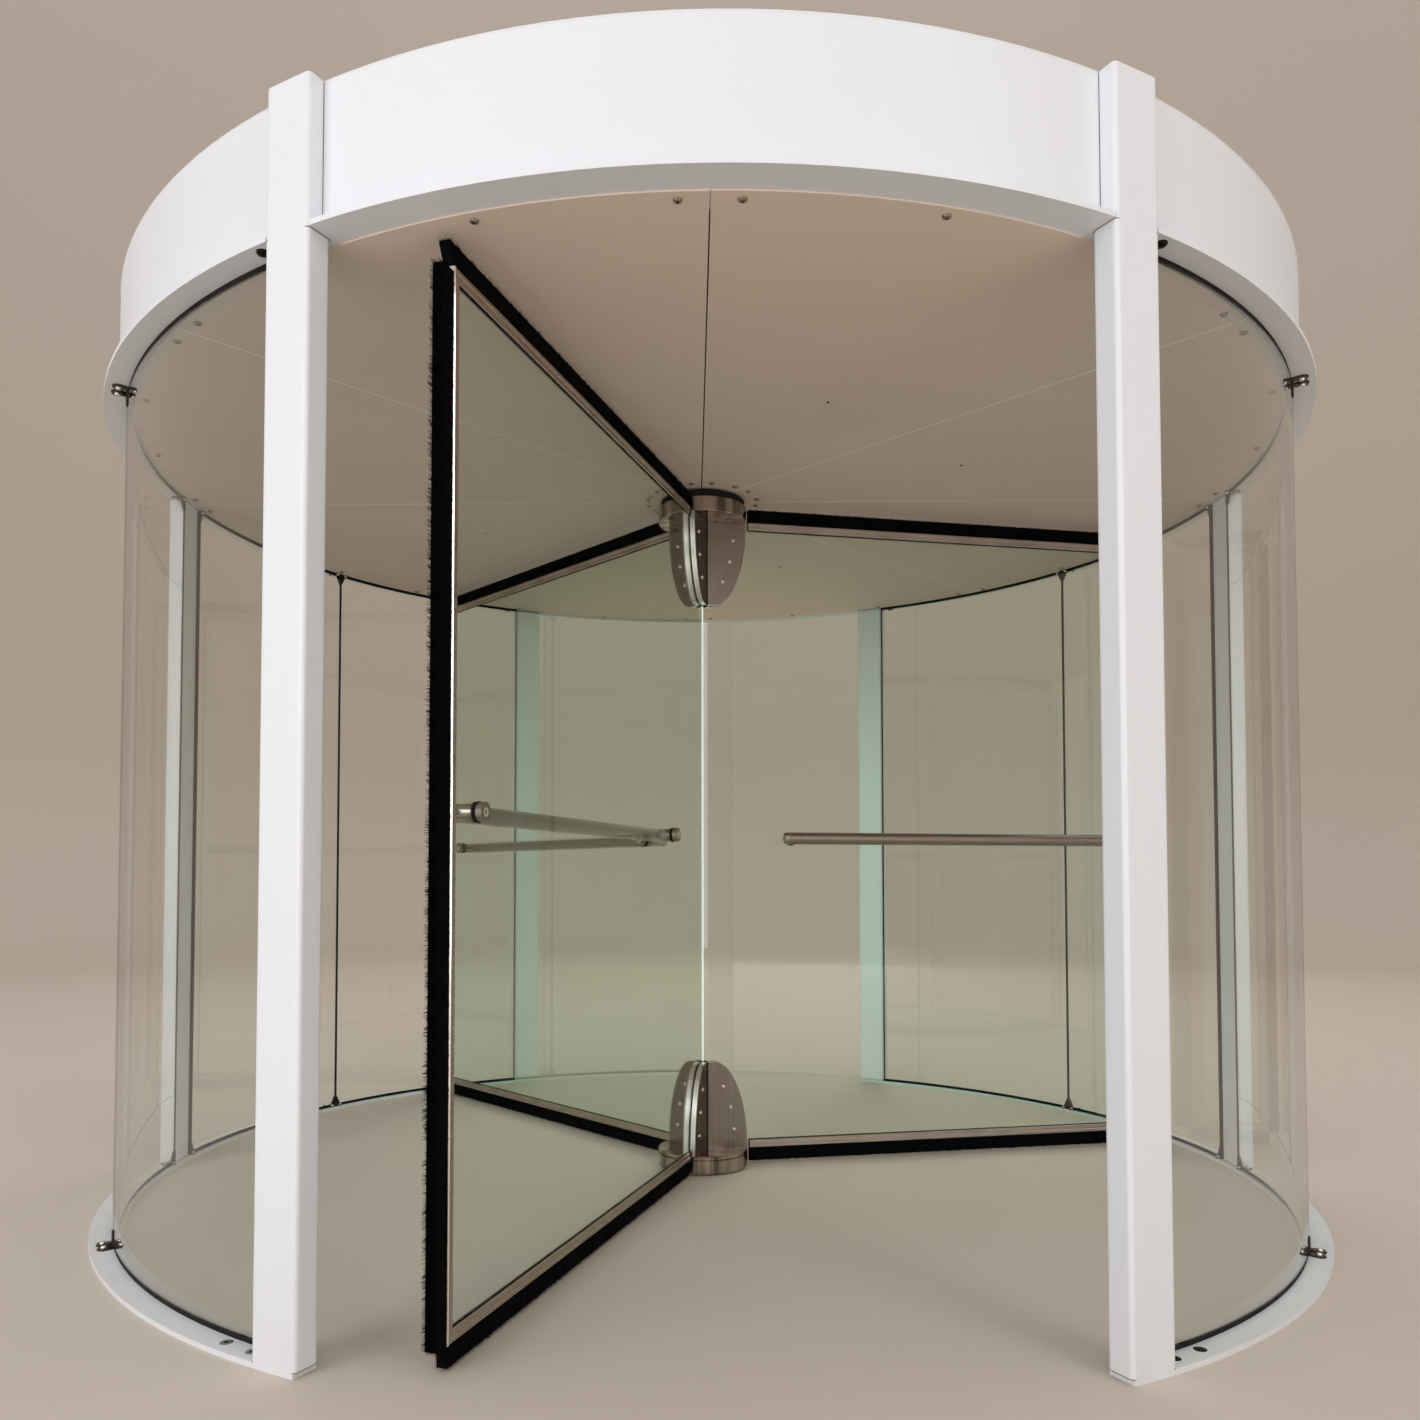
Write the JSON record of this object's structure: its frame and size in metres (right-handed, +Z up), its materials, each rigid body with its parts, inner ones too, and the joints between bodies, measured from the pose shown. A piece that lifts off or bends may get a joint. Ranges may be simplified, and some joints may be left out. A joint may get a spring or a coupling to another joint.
{
  "type": "revolving door",
  "caption": "Revolving door: a glass drum between white box posts under a round canopy, with three slim-framed glass wings, push bars and black brushes.",
  "frame": {"origin": "on the floor at the turning axis of the wings", "axes": "+Z up along the turning axis, -Y out through the front opening, +X to the right as seen from the front"},
  "size_m": [3.58, 3.58, 2.508],
  "materials": {
    "white_powder_coat": "satin white powder coat on aluminium",
    "ceiling_paint": "matt off-white paint on aluminium sheet",
    "roof_sheet": "plain coated sheet",
    "wall_glass": "clear curved laminated glass",
    "wing_glass": "clear toughened glass with a faint green edge",
    "brushed_steel": "brushed stainless steel",
    "bearing_steel": "turned steel",
    "clip_steel": "dark bronze coated steel",
    "black_rubber": "matt black rubber and silicone",
    "black_brush": "dense black nylon bristles"
  },
  "bodies": {
    "drum": {"base_ring_left": "white_powder_coat", "base_ring_right": "white_powder_coat", "ceiling_panels": "ceiling_paint", "fascia_front": "white_powder_coat", "fascia_left": "white_powder_coat", "fascia_rear": "white_powder_coat", "fascia_right": "white_powder_coat", "floor_bearing": "bearing_steel", "post_front_left": "white_powder_coat", "post_front_right": "white_powder_coat", "post_rear_left": "white_powder_coat", "post_rear_right": "white_powder_coat", "post_side_left": "white_powder_coat", "post_side_right": "white_powder_coat", "roof_plate": "roof_sheet", "soffit_ring_front": "white_powder_coat", "soffit_ring_left": "white_powder_coat", "soffit_ring_rear": "white_powder_coat", "soffit_ring_right": "white_powder_coat", "top_bearing": "bearing_steel", "wall_glass_clips": "clip_steel", "wall_glass_front_left": "wall_glass", "wall_glass_front_right": "wall_glass", "wall_glass_rear_left": "wall_glass", "wall_glass_rear_right": "wall_glass", "wall_glass_seals": "black_rubber"},
    "turning_cross": {"clamp_gaskets": "black_rubber", "clamp_plates": "brushed_steel", "hub_collars": "brushed_steel", "hub_seal_ring": "black_brush", "push_bar_1": "brushed_steel", "push_bar_2": "brushed_steel", "push_bar_3": "brushed_steel", "wing_brushes_1": "black_brush", "wing_brushes_2": "black_brush", "wing_brushes_3": "black_brush", "wing_frame_1": "brushed_steel", "wing_frame_2": "brushed_steel", "wing_frame_3": "brushed_steel", "wing_glass_1": "wing_glass", "wing_glass_2": "wing_glass", "wing_glass_3": "wing_glass"}
  },
  "joints": [
    {"name": "wing_turn", "type": "hinge", "parent": "drum", "child": "turning_cross", "pos_m": [0, 0, 0], "axis": [0, 0, 1], "continuous": true}
  ]
}
